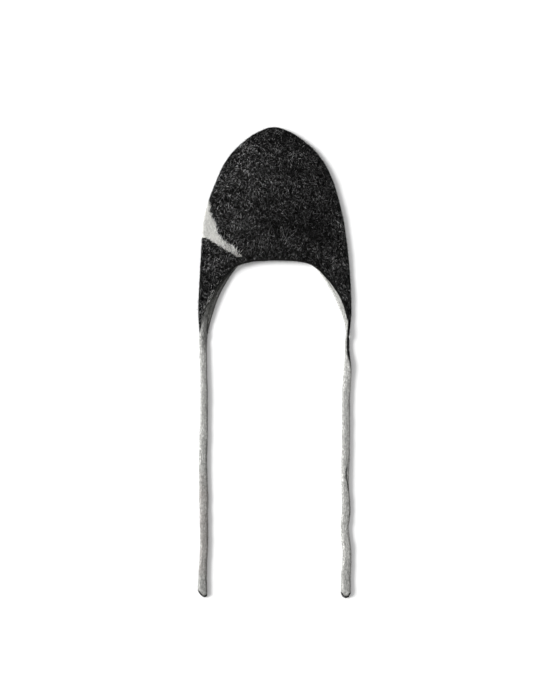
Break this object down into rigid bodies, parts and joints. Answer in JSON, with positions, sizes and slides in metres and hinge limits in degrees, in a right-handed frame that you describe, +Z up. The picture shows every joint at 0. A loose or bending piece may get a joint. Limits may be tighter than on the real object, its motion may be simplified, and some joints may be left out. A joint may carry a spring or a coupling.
{
  "type": "knitted earflap cap",
  "caption": "Soft brushed-knit earflap cap with a pointed crown and long knitted ties, lying flat on its back.",
  "frame": {"origin": "on the surface that the cap lies on, under the middle of the cap without its ties", "axes": "+Y from the opening towards the point of the crown, +Z up out of the front of the cap, +X towards the side that shows at the right; the ties lie along -Y"},
  "size_m": [0.2292, 0.7053, 0.02],
  "materials": {
    "charcoal_knit": "thick double-faced knit, brushed charcoal outside with light grey hairs, light grey inside",
    "charcoal_edge": "smooth narrow knitted edge, charcoal",
    "grey_knit": "heathered light grey knit with a charcoal back"
  },
  "bodies": {
    "root": {"crown_left": "charcoal_knit", "crown_right": "charcoal_knit", "face_edge": "charcoal_edge", "nape_edge": "charcoal_edge", "tie_left": "grey_knit", "tie_right": "grey_knit"}
  },
  "joints": []
}
